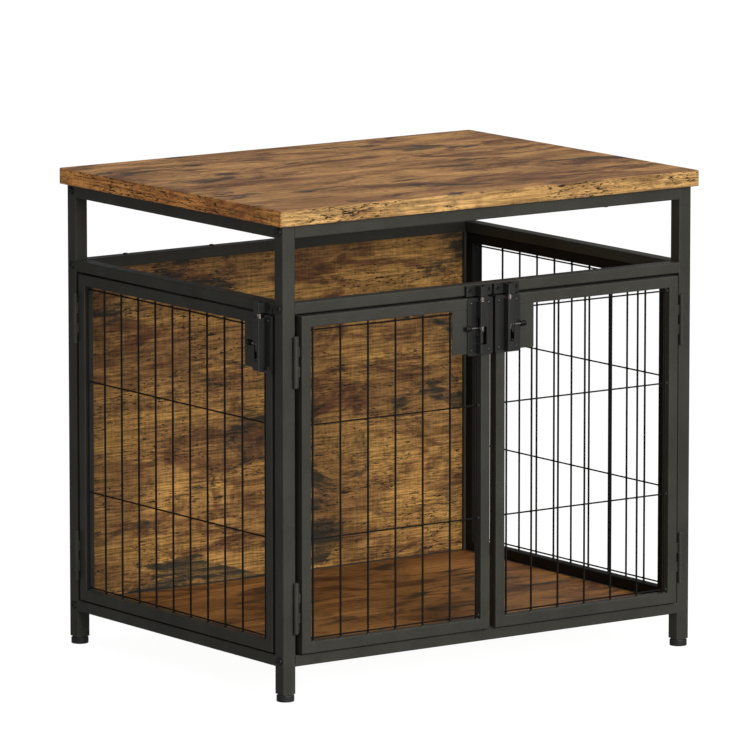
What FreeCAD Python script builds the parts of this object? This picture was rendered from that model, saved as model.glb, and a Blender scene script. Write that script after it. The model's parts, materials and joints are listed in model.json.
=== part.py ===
import FreeCAD, Part
import math
import os

# Wire dog crate that doubles as a side table. The origin is on the floor under the middle of the
# table top. X runs along the front from left to right, Y from the front to the back, Z up.
# All sizes are in millimetres.

# Overall size and board
WIDTH = 700.0
DEPTH = 533.0
HEIGHT = 664.0
BOARD_THICKNESS = 22.0
BOARD_OVERHANG = 8.0
BOARD_CORNER = 2.5
BOARD_EDGE = 1.2

# Frame of square steel tube
TUBE = 20.0
TUBE_WALL = 1.2
TUBE_CORNER = 1.6
RAIL_HEIGHT = 15.0
TOP_RAIL_HEIGHT = 17.5
OPEN_BAND_HEIGHT = 86.9
BOTTOM_RAIL_BOTTOM = 46.9

# Levelling feet
FOOT_HEIGHT = 10.2
FOOT_RADIUS = 12.0
FOOT_DISC = 8.6
FOOT_EDGE = 1.0
FOOT_NECK_RADIUS = 10.0
FOOT_SEAT_GAP = 0.3
STUD_RADIUS = 4.0
STUD_LENGTH = 18.0
STUD_CLEARANCE = 0.06
FOOT_INSERT_LENGTH = 22.0
INSERT_CLEARANCE = 0.15

# Frame screws, their end nuts, and the small screws
SCREW_RADIUS = 3.0
SCREW_HEAD_RADIUS = 5.5
SCREW_HEAD_HEIGHT = 2.2
SCREW_CLEARANCE = 0.3
THREAD_CLEARANCE = 0.05
END_NUT_LENGTH = 12.0
SMALL_SCREW_RADIUS = 1.9
SMALL_HEAD_RADIUS = 3.6
SMALL_HEAD_HEIGHT = 1.8
SMALL_SCREW_BITE = 12.0
BOARD_SCREW_INSET = 60.0

# Wooden panels
PANEL_THICKNESS = 12.0
PANEL_GAP = 0.4
BACK_PANEL_SETBACK = 2.5
FLOOR_DROP = 0.4
TAB_LENGTH = 22.0
TAB_REACH = 14.0
TAB_THICKNESS = 2.0
TAB_INSET = 70.0

# Doors and the fixed right-hand panel, both of smaller tube with a welded wire grille
DOOR_TUBE = 15.0
DOOR_TUBE_WALL = 1.0
DOOR_EDGE = 1.2
DOOR_TOP_GAP = 2.8
DOOR_BOTTOM_GAP = 2.1
FRONT_DOOR_SIDE_GAP = 6.2
FRONT_DOOR_CENTRE_GAP = 10.2
FRONT_DOOR_PROUD = 6.5
SIDE_DOOR_SIDE_GAP = 6.0
SIDE_DOOR_PROUD = 0.0
DRAIN_HOLE_RADIUS = 2.0
DRAIN_HOLE_INSET = 40.0
WIRE_RADIUS = 1.4
CROSS_WIRE_RADIUS = 1.1
WELD_SINK = 0.3
WIRE_SETBACK = 3.2
BORDER_INSET = 4.6
CROSS_WIRE_SHARES = [0.3214, 0.6923]
FRONT_WIRES = 5
FRONT_WIRE_SPREAD = 1.0
FRONT_LEFT_WIRE_SHIFT = 0.0
FRONT_RIGHT_WIRE_SHIFT = 2.8
SIDE_WIRES = 9
SIDE_WIRE_SPREAD = 0.9723
SIDE_WIRE_SHIFT = -6.6
RIGHT_WIRE_SPREAD = 0.931
RIGHT_WIRE_SHIFT = 4.4
RIGHT_NEAR_WIRES = 3
RIGHT_NEAR_SHIFT = -5.6
PANEL_SCREW_INSET = 80.0
RIGHT_PANEL_SETBACK = 2.5

# Stops of flat tube behind the front doors
STOP_WIDTH = 20.0
STOP_HEIGHT = 14.6
STOP_GAP = 0.6

# Hinges
HINGE_LENGTH = 68.0
HINGE_TOP_INSET = 61.0
HINGE_BOTTOM_INSET = 62.4
KNUCKLES = 5
KNUCKLE_GAP = 0.3
BARREL_RADIUS = 3.2
HINGE_PIN_RADIUS = 1.5
HINGE_PIN_CLEARANCE = 0.06
LEAF_THICKNESS = 1.2
LEAF_REACH = 8.0
LEAF_CLEARANCE = 0.6
ARM_SETBACK = 1.4
FRONT_AXIS_OFFSET = -1.9
FRONT_AXIS_PROUD = 3.5
SIDE_AXIS_OFFSET = 3.0
SIDE_AXIS_PROUD = 3.3

# Slide-bolt latches and their keepers
LATCH_PLATE_WIDTH = 48.0
LATCH_PLATE_HEIGHT = 60.0
LATCH_PLATE_THICKNESS = 1.2
LATCH_PLATE_SETBACK = 0.3
BOLT_FROM_FREE_EDGE = 18.0
LATCH_BASE_WIDTH = 42.0
LATCH_BASE_HEIGHT = 78.0
LATCH_BASE_THICKNESS = 1.5
LATCH_BASE_CORNER = 3.0
HOUSING_WIDTH = 13.6
HOUSING_DEPTH = 12.2
HOUSING_WALL = 1.3
HOUSING_EDGE = 1.5
HOUSING_TOP = 4.0
HOUSING_BOTTOM = 75.0
UPPER_GUIDE = 20.0
LOWER_GUIDE = 10.0
BOLT_RADIUS = 3.4
BOLT_STANDOFF = 5.7
SIDE_LATCH_PAD = 1.8
BOLT_CLEARANCE = 0.08
BOLT_TIP_GAP = 1.0
BOLT_LENGTH = 47.0
BOLT_TIP_CHAMFER = 0.6
KNOB_DROP = 40.0
KNOB_PIN_RADIUS = 1.5
KNOB_PIN_REACH = 19.0
KNOB_TIP_RADIUS = 2.9
KNOB_TIP_LENGTH = 7.5
KNOB_EDGE = 1.2
SLOT_WIDTH = 6.4
SLOT_LENGTH = 18.0
NOTCH_HEIGHT = 4.4
BOLT_LIFT = 11.0
BOLT_DROP = 8.0
WINDOW_MARGIN = 2.4
KEEPER_WIDTH = 42.0
KEEPER_HEIGHT = 14.0
FRONT_KEEPER_PAD = 5.0
SIDE_KEEPER_PAD = 2.4
KEEPER_BRIDGE_WIDTH = 11.4
KEEPER_PLAY = 0.9
KEEPER_WALL = 1.3
KEEPER_SCREW_SPACING = 31.2
KEEPER_SCREW_RADIUS = 1.5
KEEPER_HEAD_RADIUS = 2.5
KEEPER_HEAD_HEIGHT = 1.4

# Sizes that follow from the ones above
frame_x = WIDTH / 2 - BOARD_OVERHANG
frame_y = DEPTH / 2 - BOARD_OVERHANG
inner_x = frame_x - TUBE
inner_y = frame_y - TUBE
post_top = HEIGHT - BOARD_THICKNESS
band_low = post_top - TOP_RAIL_HEIGHT - OPEN_BAND_HEIGHT
rail_levels = {
    "top": (post_top - TOP_RAIL_HEIGHT, post_top),
    "middle": (band_low - RAIL_HEIGHT, band_low),
    "bottom": (BOTTOM_RAIL_BOTTOM, BOTTOM_RAIL_BOTTOM + RAIL_HEIGHT),
}
bay_low = rail_levels["bottom"][1]
bay_high = rail_levels["middle"][0]
door_low = bay_low + DOOR_BOTTOM_GAP
door_high = bay_high - DOOR_TOP_GAP
lowest_wire = door_low + DOOR_TUBE + BORDER_INSET
highest_wire = door_high - DOOR_TUBE - BORDER_INSET
inner_wires = [lowest_wire + share * (highest_wire - lowest_wire) for share in CROSS_WIRE_SHARES]
panel_screw_heights = [bay_low + PANEL_SCREW_INSET, bay_high - PANEL_SCREW_INSET]
floor_top = bay_low - FLOOR_DROP
floor_low = floor_top - PANEL_THICKNESS
front_door_width = inner_x - FRONT_DOOR_SIDE_GAP - FRONT_DOOR_CENTRE_GAP / 2
side_door_width = 2 * (inner_y - SIDE_DOOR_SIDE_GAP)
upper_screw_x = [-inner_x + 2 * BOARD_SCREW_INSET, inner_x - 2 * BOARD_SCREW_INSET]
upper_screw_y = [-inner_y + BOARD_SCREW_INSET, inner_y - BOARD_SCREW_INSET]

UP = FreeCAD.Vector(0, 0, 1)
EAST = FreeCAD.Vector(1, 0, 0)
NORTH = FreeCAD.Vector(0, 1, 0)


def point(x, y, z):
    return FreeCAD.Vector(x, y, z)


def box(x0, x1, y0, y1, z0, z1):
    """Block between two opposite corners."""
    return Part.makeBox(x1 - x0, y1 - y0, z1 - z0, point(x0, y0, z0))


def rod(start, direction, length, radius):
    return Part.makeCylinder(radius, length, start, direction)


def fuse(shapes):
    """Join solids that touch or overlap into one."""
    joined = shapes[0].fuse(shapes[1:]) if len(shapes) > 1 else shapes[0]
    return joined.removeSplitter()


def edges_along(solid, axis):
    """Straight edges of a block that run along X, Y or Z."""
    chosen = []
    for edge in solid.Edges:
        run = edge.Vertexes[-1].Point - edge.Vertexes[0].Point
        if abs(run.dot(axis)) > 0.999 * run.Length:
            chosen.append(edge)
    return chosen


def edges_facing_out(solid, limit):
    """Upright edges of a block that lie in front of a depth."""
    return [edge for edge in edges_along(solid, UP) if edge.CenterOfMass.y < limit]


def tube(x0, x1, y0, y1, z0, z1, axis, wall=TUBE_WALL, corner=TUBE_CORNER):
    """Square or flat tube with rounded long edges, open at both ends."""
    outer = box(x0, x1, y0, y1, z0, z1)
    outer = outer.makeFillet(corner, edges_along(outer, axis))
    grow = [0.0 if abs(a) > 0.5 else wall for a in axis]
    inner = box(x0 + grow[0], x1 - grow[0], y0 + grow[1], y1 - grow[1], z0 + grow[2], z1 - grow[2])
    inner = inner.makeFillet(max(corner - wall, 0.2), edges_along(inner, axis))
    return outer.cut(inner)


def pan_screw(seat, direction, grip, radius, head_radius, head_height):
    """Screw whose head stands on seat and whose shank runs along direction."""
    head = rod(seat - direction * head_height, direction, head_height, head_radius)
    rim = [e for e in head.Edges if abs(e.Length - 2 * math.pi * head_radius) < 0.01]
    outer_rim = [e for e in rim if (e.CenterOfMass - seat).dot(direction) < -0.5 * head_height]
    head = head.makeFillet(0.7 * head_height, outer_rim)
    socket = rod(seat - direction * head_height, direction, 0.6 * head_height, 0.36 * head_radius)
    return fuse([head.cut(socket), rod(seat, direction, grip, radius)])


def save(name, shapes):
    """Write one node: a single solid, or a group of separate ones."""
    solids = []
    for shape in shapes:
        solids.extend(shape.Solids)
    node = solids[0] if len(solids) == 1 else Part.makeCompound(solids)
    node.exportStep("parts/" + name + ".step")
    print(name, len(solids), "solid(s)", round(node.Volume / 1000.0, 2), "cm3")


# Posts: one at each corner, drilled for the frame screws and for the panel screws

def make_posts_and_feet():
    inserts = []
    for x_side, x_name in ((-1, "left"), (1, "right")):
        for y_side, y_name in ((-1, "front"), (1, "back")):
            x_mid = x_side * (frame_x - TUBE / 2)
            y_mid = y_side * (frame_y - TUBE / 2)
            half = TUBE / 2
            post = tube(x_mid - half, x_mid + half, y_mid - half, y_mid + half, FOOT_HEIGHT, post_top, UP)
            for low, high in rail_levels.values():
                start = point(x_mid - TUBE, y_mid, (low + high) / 2)
                post = post.cut(rod(start, EAST, 2 * TUBE, SCREW_RADIUS + SCREW_CLEARANCE))
            if x_side > 0:
                for z in panel_screw_heights:
                    start = point(right_panel_x, y_mid - y_side * TUBE, z)
                    post = post.cut(rod(start, NORTH * y_side, TUBE, SMALL_SCREW_RADIUS + THREAD_CLEARANCE))
            save("post_%s_%s" % (y_name, x_name), [post])

            room = half - TUBE_WALL - INSERT_CLEARANCE
            insert = box(x_mid - room, x_mid + room, y_mid - room, y_mid + room,
                         FOOT_HEIGHT, FOOT_HEIGHT + FOOT_INSERT_LENGTH)
            bore = rod(point(x_mid, y_mid, 0), UP, FOOT_HEIGHT + 2 * FOOT_INSERT_LENGTH,
                       STUD_RADIUS + STUD_CLEARANCE)
            inserts.append(insert.cut(bore))

            disc = rod(point(x_mid, y_mid, 0), UP, FOOT_DISC, FOOT_RADIUS)
            disc = disc.makeFillet(FOOT_EDGE, [e for e in disc.Edges if e.Closed])
            neck_height = FOOT_HEIGHT - FOOT_SEAT_GAP
            neck = rod(point(x_mid, y_mid, 0), UP, neck_height, FOOT_NECK_RADIUS)
            stud = rod(point(x_mid, y_mid, 0), UP, FOOT_HEIGHT + STUD_LENGTH, STUD_RADIUS)
            save("foot_%s_%s" % (y_name, x_name), [fuse([disc, neck, stud])])
    save("foot_inserts", inserts)


# Rails: three on each side, welded to the posts on the left and right, screwed at front and back

def make_rails():
    nuts = []
    screws = []
    for level, (low, high) in rail_levels.items():
        middle = (low + high) / 2
        for side, name in ((-1, "left"), (1, "right")):
            x0, x1 = sorted((side * inner_x, side * frame_x))
            rail = tube(x0, x1, -inner_y, inner_y, low, high, NORTH)
            if name == "left" and level == "middle":
                for y in side_keeper_screw_y:
                    hole = rod(point(x0 - 1, y, middle), EAST, 2 + TUBE_WALL,
                               KEEPER_SCREW_RADIUS + THREAD_CLEARANCE)
                    rail = rail.cut(hole)
            if level == "top":
                for y in upper_screw_y:
                    hole = rod(point((x0 + x1) / 2, y, low - 1), UP, TOP_RAIL_HEIGHT + 2,
                               SMALL_SCREW_RADIUS + SCREW_CLEARANCE)
                    rail = rail.cut(hole)
            save("rail_%s_%s" % (name, level), [rail])
        for side, name in ((-1, "front"), (1, "back")):
            y0, y1 = sorted((side * inner_y, side * frame_y))
            y_mid = (y0 + y1) / 2
            rail = tube(-inner_x, inner_x, y0, y1, low, high, EAST)
            if level == "top":
                for x in upper_screw_x:
                    hole = rod(point(x, y_mid, low - 1), UP, TOP_RAIL_HEIGHT + 2,
                               SMALL_SCREW_RADIUS + SCREW_CLEARANCE)
                    rail = rail.cut(hole)
            if name == "front" and level == "middle":
                for x in keeper_screw_x:
                    hole = rod(point(x, y0 - 1, middle), NORTH, 2 + TUBE_WALL,
                               KEEPER_SCREW_RADIUS + THREAD_CLEARANCE)
                    rail = rail.cut(hole)
            if name == "back" and level != "top":
                for x in back_screw_x:
                    hole = rod(point(x, back_panel_y, low - 1), UP, RAIL_HEIGHT + 2,
                               SMALL_SCREW_RADIUS + SCREW_CLEARANCE)
                    rail = rail.cut(hole)
            save("rail_%s_%s" % (name, level), [rail])
            room_y = TUBE / 2 - TUBE_WALL - INSERT_CLEARANCE
            room_z = (high - low) / 2 - TUBE_WALL - INSERT_CLEARANCE
            for end in (-1, 1):
                x0, x1 = sorted((end * inner_x, end * (inner_x - END_NUT_LENGTH)))
                nut = box(x0, x1, y_mid - room_y, y_mid + room_y, middle - room_z, middle + room_z)
                bore = rod(point(x0 - 1, y_mid, middle), EAST, END_NUT_LENGTH + 2,
                           SCREW_RADIUS + THREAD_CLEARANCE)
                nuts.append(nut.cut(bore))
                seat = point(end * frame_x, y_mid, middle)
                screws.append(pan_screw(seat, EAST * -end, TUBE + END_NUT_LENGTH - 1, SCREW_RADIUS,
                                        SCREW_HEAD_RADIUS, SCREW_HEAD_HEIGHT))
    save("rail_end_nuts", nuts)
    save("frame_screws", screws)


# Table top, screwed from below through the top rails

def make_table_top():
    board = box(-WIDTH / 2, WIDTH / 2, -DEPTH / 2, DEPTH / 2, post_top, HEIGHT)
    board = board.makeFillet(BOARD_CORNER, edges_along(board, UP))
    rims = [e for e in board.Edges if abs(e.BoundBox.ZMax - e.BoundBox.ZMin) < 0.01]
    board = board.makeFillet(BOARD_EDGE, rims)
    screws = []
    low = rail_levels["top"][0]
    spots = [(x, y) for x in (-frame_x + TUBE / 2, frame_x - TUBE / 2) for y in upper_screw_y]
    spots += [(x, y) for y in (-frame_y + TUBE / 2, frame_y - TUBE / 2) for x in upper_screw_x]
    for x, y in spots:
        pilot = rod(point(x, y, post_top - 1), UP, SMALL_SCREW_BITE + 2,
                    SMALL_SCREW_RADIUS + THREAD_CLEARANCE)
        board = board.cut(pilot)
        screws.append(pan_screw(point(x, y, low), UP, TOP_RAIL_HEIGHT + SMALL_SCREW_BITE,
                                SMALL_SCREW_RADIUS, SMALL_HEAD_RADIUS, SMALL_HEAD_HEIGHT))
    save("table_top", [board])
    save("table_top_screws", screws)


# Floor panel on welded tabs, and back panel between the back rails

back_panel_y = frame_y - BACK_PANEL_SETBACK - PANEL_THICKNESS / 2
back_screw_x = [-inner_x + TAB_INSET, -inner_x / 3, inner_x / 3, inner_x - TAB_INSET]


def make_floor():
    edge_x = inner_x - PANEL_GAP
    edge_y = inner_y - PANEL_GAP
    floor = box(-edge_x, edge_x, -edge_y, edge_y, floor_low, floor_top)
    tabs = []
    screws = []
    low = floor_low - TAB_THICKNESS
    half = TAB_LENGTH / 2
    spots = []
    for side in (-1, 1):
        for x in (-inner_x + TAB_INSET, 0, inner_x - TAB_INSET):
            y0, y1 = sorted((side * inner_y, side * (inner_y - TAB_REACH)))
            spots.append((x - half, x + half, y0, y1))
        for y in (-inner_y / 2, inner_y / 2):
            x0, x1 = sorted((side * inner_x, side * (inner_x - TAB_REACH)))
            spots.append((x0, x1, y - half, y + half))
    for x0, x1, y0, y1 in spots:
        x = (x0 + x1) / 2
        y = (y0 + y1) / 2
        hole = rod(point(x, y, low - 1), UP, TAB_THICKNESS + 2, SMALL_SCREW_RADIUS + SCREW_CLEARANCE)
        tabs.append(box(x0, x1, y0, y1, low, floor_low).cut(hole))
        bite = PANEL_THICKNESS - 3
        pilot = rod(point(x, y, floor_low - 1), UP, bite + 2, SMALL_SCREW_RADIUS + THREAD_CLEARANCE)
        floor = floor.cut(pilot)
        screws.append(pan_screw(point(x, y, low), UP, TAB_THICKNESS + bite, SMALL_SCREW_RADIUS,
                                SMALL_HEAD_RADIUS, SMALL_HEAD_HEIGHT))
    save("floor_panel", [floor])
    save("floor_support_tabs", tabs)
    save("floor_panel_screws", screws)


def make_back_panel():
    edge_x = inner_x - PANEL_GAP
    half = PANEL_THICKNESS / 2
    panel = box(-edge_x, edge_x, back_panel_y - half, back_panel_y + half,
                bay_low + PANEL_GAP, bay_high - PANEL_GAP)
    screws = []
    for x in back_screw_x:
        for seat_z, direction in ((rail_levels["middle"][1], -1), (rail_levels["bottom"][0], 1)):
            seat = point(x, back_panel_y, seat_z)
            grip = RAIL_HEIGHT + SMALL_SCREW_BITE
            pilot = rod(seat, UP * direction, grip + 1, SMALL_SCREW_RADIUS + THREAD_CLEARANCE)
            panel = panel.cut(pilot)
            screws.append(pan_screw(seat, UP * direction, grip, SMALL_SCREW_RADIUS,
                                    SMALL_HEAD_RADIUS, SMALL_HEAD_HEIGHT))
    save("back_panel", [panel])
    save("back_panel_screws", screws)


# Doors and the right-hand panel. Each is drawn in its own frame: x along its width from the hinge
# side, y = 0 on the face plane of the posts and negative outwards, z up.

def ring_frame(x0, x1, front, z0, z1):
    """Mitred and welded frame of door tube with its front face at y = front."""
    back = front + DOOR_TUBE
    outer = box(x0, x1, front, back, z0, z1)
    hole = box(x0 + DOOR_TUBE, x1 - DOOR_TUBE, front - 1, back + 1, z0 + DOOR_TUBE, z1 - DOOR_TUBE)
    ring = outer.cut(hole)
    ring = ring.makeFillet(DOOR_EDGE, [e for e in ring.Edges if e.Length > 2 * DOOR_TUBE])
    w = DOOR_TUBE_WALL
    core = box(x0 + w, x1 - w, front + w, back - w, z0 + w, z1 - w)
    inner = DOOR_TUBE - w
    core = core.cut(box(x0 + inner, x1 - inner, front, back, z0 + inner, z1 - inner))
    ring = ring.cut(core)
    for x in (x0 + DRAIN_HOLE_INSET, x1 - DRAIN_HOLE_INSET):
        ring = ring.cut(rod(point(x, front + DOOR_TUBE / 2, z0 - 1), UP, 1 + 2 * w, DRAIN_HOLE_RADIUS))
    return ring


def grille(x0, x1, front, z0, z1, count, spread, shift, near=0, near_shift=0.0):
    """Upright wires with cross wires welded behind them; spread 1 shares the opening out evenly.

    The first few inner wires (near) can stand apart from the rest by near_shift.
    """
    left = x0 + DOOR_TUBE
    right = x1 - DOOR_TUBE
    low = z0 + DOOR_TUBE
    high = z1 - DOOR_TUBE
    middle = (left + right) / 2 + shift
    uprights = [left + BORDER_INSET, right - BORDER_INSET]
    pitch = spread * (uprights[1] - uprights[0]) / (count + 1)
    for i in range(count):
        extra = near_shift if i < near else 0.0
        uprights.append(middle + (i - (count - 1) / 2) * pitch + extra)
    levels = [low + BORDER_INSET, high - BORDER_INSET] + inner_wires
    y_upright = front + WIRE_SETBACK
    y_cross = y_upright + WIRE_RADIUS + CROSS_WIRE_RADIUS - WELD_SINK
    wires = [rod(point(x, y_upright, low), UP, high - low, WIRE_RADIUS) for x in uprights]
    wires += [rod(point(left, y_cross, z), EAST, right - left, CROSS_WIRE_RADIUS) for z in levels]
    return wires[0].fuse(wires[1:])


def hinge_levels():
    """Bottom height of each knuckle, and whether it belongs to the frame leaf."""
    step = HINGE_LENGTH / KNUCKLES
    for centre in (door_low + HINGE_BOTTOM_INSET, door_high - HINGE_TOP_INSET):
        low = centre - HINGE_LENGTH / 2
        yield [(low + i * step, i % 2 == 0) for i in range(KNUCKLES)]


def hinge_leaves(axis_x, axis_y, gap):
    """Frame leaves on the post's inner face, door leaves on the door's edge, and the pins."""
    step = HINGE_LENGTH / KNUCKLES
    knuckle_height = step - KNUCKLE_GAP
    frame_leaves = []
    door_leaves = []
    pins = []
    clear = BARREL_RADIUS + LEAF_CLEARANCE
    for knuckles in hinge_levels():
        low = knuckles[0][0]
        high = low + HINGE_LENGTH - KNUCKLE_GAP
        frame_leaf = [box(0, LEAF_THICKNESS, axis_y + clear, axis_y + clear + LEAF_REACH, low, high)]
        door_leaf = [box(gap - LEAF_THICKNESS, gap, axis_y + clear, axis_y + clear + LEAF_REACH, low, high)]
        for z, on_frame in knuckles:
            barrel = rod(point(axis_x, axis_y, z), UP, knuckle_height, BARREL_RADIUS)
            if on_frame:
                web = box(0, LEAF_THICKNESS, axis_y, axis_y + clear, z, z + knuckle_height)
                frame_leaf += [barrel, web]
            else:
                arm_y = axis_y + ARM_SETBACK
                arm = box(axis_x, gap, arm_y, arm_y + LEAF_THICKNESS, z, z + knuckle_height)
                web = box(gap - LEAF_THICKNESS, gap, arm_y, axis_y + clear, z, z + knuckle_height)
                door_leaf += [barrel, arm, web]
        bore = rod(point(axis_x, axis_y, low - 1), UP, HINGE_LENGTH + 2,
                   HINGE_PIN_RADIUS + HINGE_PIN_CLEARANCE)
        frame_leaves.append(fuse(frame_leaf).cut(bore))
        door_leaves.append(fuse(door_leaf).cut(bore))
        pins.append(rod(point(axis_x, axis_y, low), UP, high - low, HINGE_PIN_RADIUS))
    return frame_leaves, door_leaves, pins


def latch_housing(bolt_x, base_y, top, pad):
    """Flanged base with a channel that guides the bolt. Its knob side faces the hinges (-x)."""
    half = LATCH_BASE_WIDTH / 2
    face = base_y - pad - LATCH_BASE_THICKNESS
    base = box(bolt_x - half, bolt_x + half, face, base_y, top - LATCH_BASE_HEIGHT, top)
    base = base.makeFillet(LATCH_BASE_CORNER, edges_along(base, NORTH))
    w = HOUSING_WIDTH / 2
    crown = base_y - pad - HOUSING_DEPTH
    high = top - HOUSING_TOP
    low = top - HOUSING_BOTTOM
    channel = box(bolt_x - w, bolt_x + w, crown, face + 0.5, low, high)
    channel = channel.makeFillet(HOUSING_EDGE, edges_facing_out(channel, face - 1))
    solid = fuse([base, channel])
    t = HOUSING_WALL
    hollow = box(bolt_x - w + t, bolt_x + w - t, crown + t, face, low + LOWER_GUIDE, high - UPPER_GUIDE)
    solid = solid.cut(hollow)
    bolt_y = base_y - pad - BOLT_STANDOFF
    bore = rod(point(bolt_x, bolt_y, low - 1), UP, HOUSING_BOTTOM + 2, BOLT_RADIUS + BOLT_CLEARANCE)
    solid = solid.cut(bore)
    knob_z = top - KNOB_DROP
    s = SLOT_WIDTH / 2
    slot = box(bolt_x - s, bolt_x + s, crown - 1, crown + t + 1, knob_z - SLOT_LENGTH - 2, knob_z + 2)
    n = NOTCH_HEIGHT / 2
    side_cut = bolt_x - w - 1
    notch = box(side_cut, bolt_x + s, crown - 1, crown + t + 1, knob_z - n, knob_z + n)
    slot_foot = knob_z - SLOT_LENGTH - 2
    foot = box(side_cut, bolt_x + s, crown - 1, face - 1, slot_foot - n, slot_foot)
    window = box(side_cut, bolt_x - w + t + 1, bolt_y - KNOB_TIP_RADIUS, bolt_y + KNOB_PIN_RADIUS + 1,
                 knob_z - BOLT_DROP - WINDOW_MARGIN, knob_z + BOLT_LIFT + WINDOW_MARGIN)
    return solid.cut([slot, notch, foot, window])


def latch_bolt(bolt_x, base_y, top, pad):
    """Round bolt with its tip just under the keeper, and a knob pin that points at the hinges."""
    bolt_y = base_y - pad - BOLT_STANDOFF
    tip = bay_high - BOLT_TIP_GAP
    bolt = rod(point(bolt_x, bolt_y, tip - BOLT_LENGTH), UP, BOLT_LENGTH, BOLT_RADIUS)
    tip_edge = [e for e in bolt.Edges if e.Closed and e.CenterOfMass.z > tip - 1]
    bolt = bolt.makeChamfer(BOLT_TIP_CHAMFER, tip_edge)
    knob_z = top - KNOB_DROP
    west = EAST * -1
    pin = rod(point(bolt_x, bolt_y, knob_z), west, KNOB_PIN_REACH, KNOB_PIN_RADIUS)
    knob = rod(point(bolt_x - KNOB_PIN_REACH, bolt_y, knob_z), west, KNOB_TIP_LENGTH, KNOB_TIP_RADIUS)
    knob = knob.makeFillet(KNOB_EDGE, [e for e in knob.Edges if e.Closed])
    return fuse([bolt, pin, knob])


def keeper(bolt_x, bolt_out, pad):
    """Keeper strap on the middle rail for a bolt that stands bolt_out in front, and its two screws."""
    z0 = bay_high
    z1 = z0 + KEEPER_HEIGHT
    half = KEEPER_WIDTH / 2
    b = KEEPER_BRIDGE_WIDTH / 2
    t = KEEPER_WALL
    crown = -(bolt_out + BOLT_RADIUS + KEEPER_PLAY + t)
    strap = box(bolt_x - half, bolt_x + half, -pad, 0, z0, z1)
    bridge = box(bolt_x - b, bolt_x + b, crown, -pad + 0.5, z0, z1)
    bridge = bridge.makeFillet(HOUSING_EDGE, edges_facing_out(bridge, -pad - 1))
    strap = fuse([strap, bridge])
    strap = strap.cut(box(bolt_x - b + t, bolt_x + b - t, crown + t, -pad, z0 - 1, z1 + 1))
    screws = []
    middle = (z0 + rail_levels["middle"][1]) / 2
    for side in (-1, 1):
        x = bolt_x + side * KEEPER_SCREW_SPACING / 2
        mouth = point(x, -pad - 1, middle)
        strap = strap.cut(rod(mouth, NORTH, pad + 2, KEEPER_SCREW_RADIUS + SCREW_CLEARANCE))
        strap = strap.cut(rod(mouth, NORTH, 1 + KEEPER_HEAD_HEIGHT, KEEPER_HEAD_RADIUS + SCREW_CLEARANCE))
        seat = point(x, -pad + KEEPER_HEAD_HEIGHT, middle)
        grip = pad - KEEPER_HEAD_HEIGHT + TUBE_WALL + 2
        screws.append(pan_screw(seat, NORTH, grip, KEEPER_SCREW_RADIUS, KEEPER_HEAD_RADIUS,
                                KEEPER_HEAD_HEIGHT - 0.3))
    return strap, screws


def make_door(name, place, gap, width, proud, wires, spread, shift, axis_x, axis_proud, pad, keeper_pad):
    """One door with its hinges, latch and keeper; place moves each shape to its side of the crate."""
    x0 = gap
    x1 = gap + width
    front = -proud
    save(name + "_door_frame", [place(ring_frame(x0, x1, front, door_low, door_high))])
    save(name + "_door_wires", [place(grille(x0, x1, front, door_low, door_high, wires, spread, shift))])
    inner = x1 - DOOR_TUBE
    plate_y = front + LATCH_PLATE_SETBACK
    top = door_high - DOOR_TUBE
    plate = box(inner - LATCH_PLATE_WIDTH, inner, plate_y, plate_y + LATCH_PLATE_THICKNESS,
                top - LATCH_PLATE_HEIGHT, top)
    save(name + "_latch_plate", [place(plate)])
    bolt_x = x1 - BOLT_FROM_FREE_EDGE
    save(name + "_latch_housing", [place(latch_housing(bolt_x, front, door_high, pad))])
    save(name + "_latch_bolt", [place(latch_bolt(bolt_x, front, door_high, pad))])
    strap, screws = keeper(bolt_x, proud + pad + BOLT_STANDOFF, keeper_pad)
    save(name + "_keeper", [place(strap)])
    frame_leaves, door_leaves, pins = hinge_leaves(axis_x, -axis_proud, gap)
    save(name + "_hinge_frame_leaves", [place(s) for s in frame_leaves])
    save(name + "_hinge_door_leaves", [place(s) for s in door_leaves])
    return [place(s) for s in pins], [place(s) for s in screws]


def at_front_left(shape):
    moved = shape.copy()
    moved.translate(point(-inner_x, -frame_y, 0))
    return moved


def at_front_right(shape):
    return at_front_left(shape).mirror(point(0, 0, 0), EAST)


def at_left_side(shape):
    moved = shape.copy()
    moved.rotate(point(0, 0, 0), UP, -90)
    moved.translate(point(-frame_x, inner_y, 0))
    return moved


def at_right_side(shape):
    moved = shape.copy()
    moved.rotate(point(0, 0, 0), UP, 90)
    moved.translate(point(frame_x, -inner_y, 0))
    return moved


front_bolt_x = -inner_x + FRONT_DOOR_SIDE_GAP + front_door_width - BOLT_FROM_FREE_EDGE
keeper_screw_x = [side * (-front_bolt_x + offset * KEEPER_SCREW_SPACING / 2)
                  for side in (-1, 1) for offset in (-1, 1)]
side_bolt_y = inner_y - SIDE_DOOR_SIDE_GAP - side_door_width + BOLT_FROM_FREE_EDGE
side_keeper_screw_y = [side_bolt_y + offset * KEEPER_SCREW_SPACING / 2 for offset in (-1, 1)]
right_panel_x = frame_x - RIGHT_PANEL_SETBACK - DOOR_TUBE / 2


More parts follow.
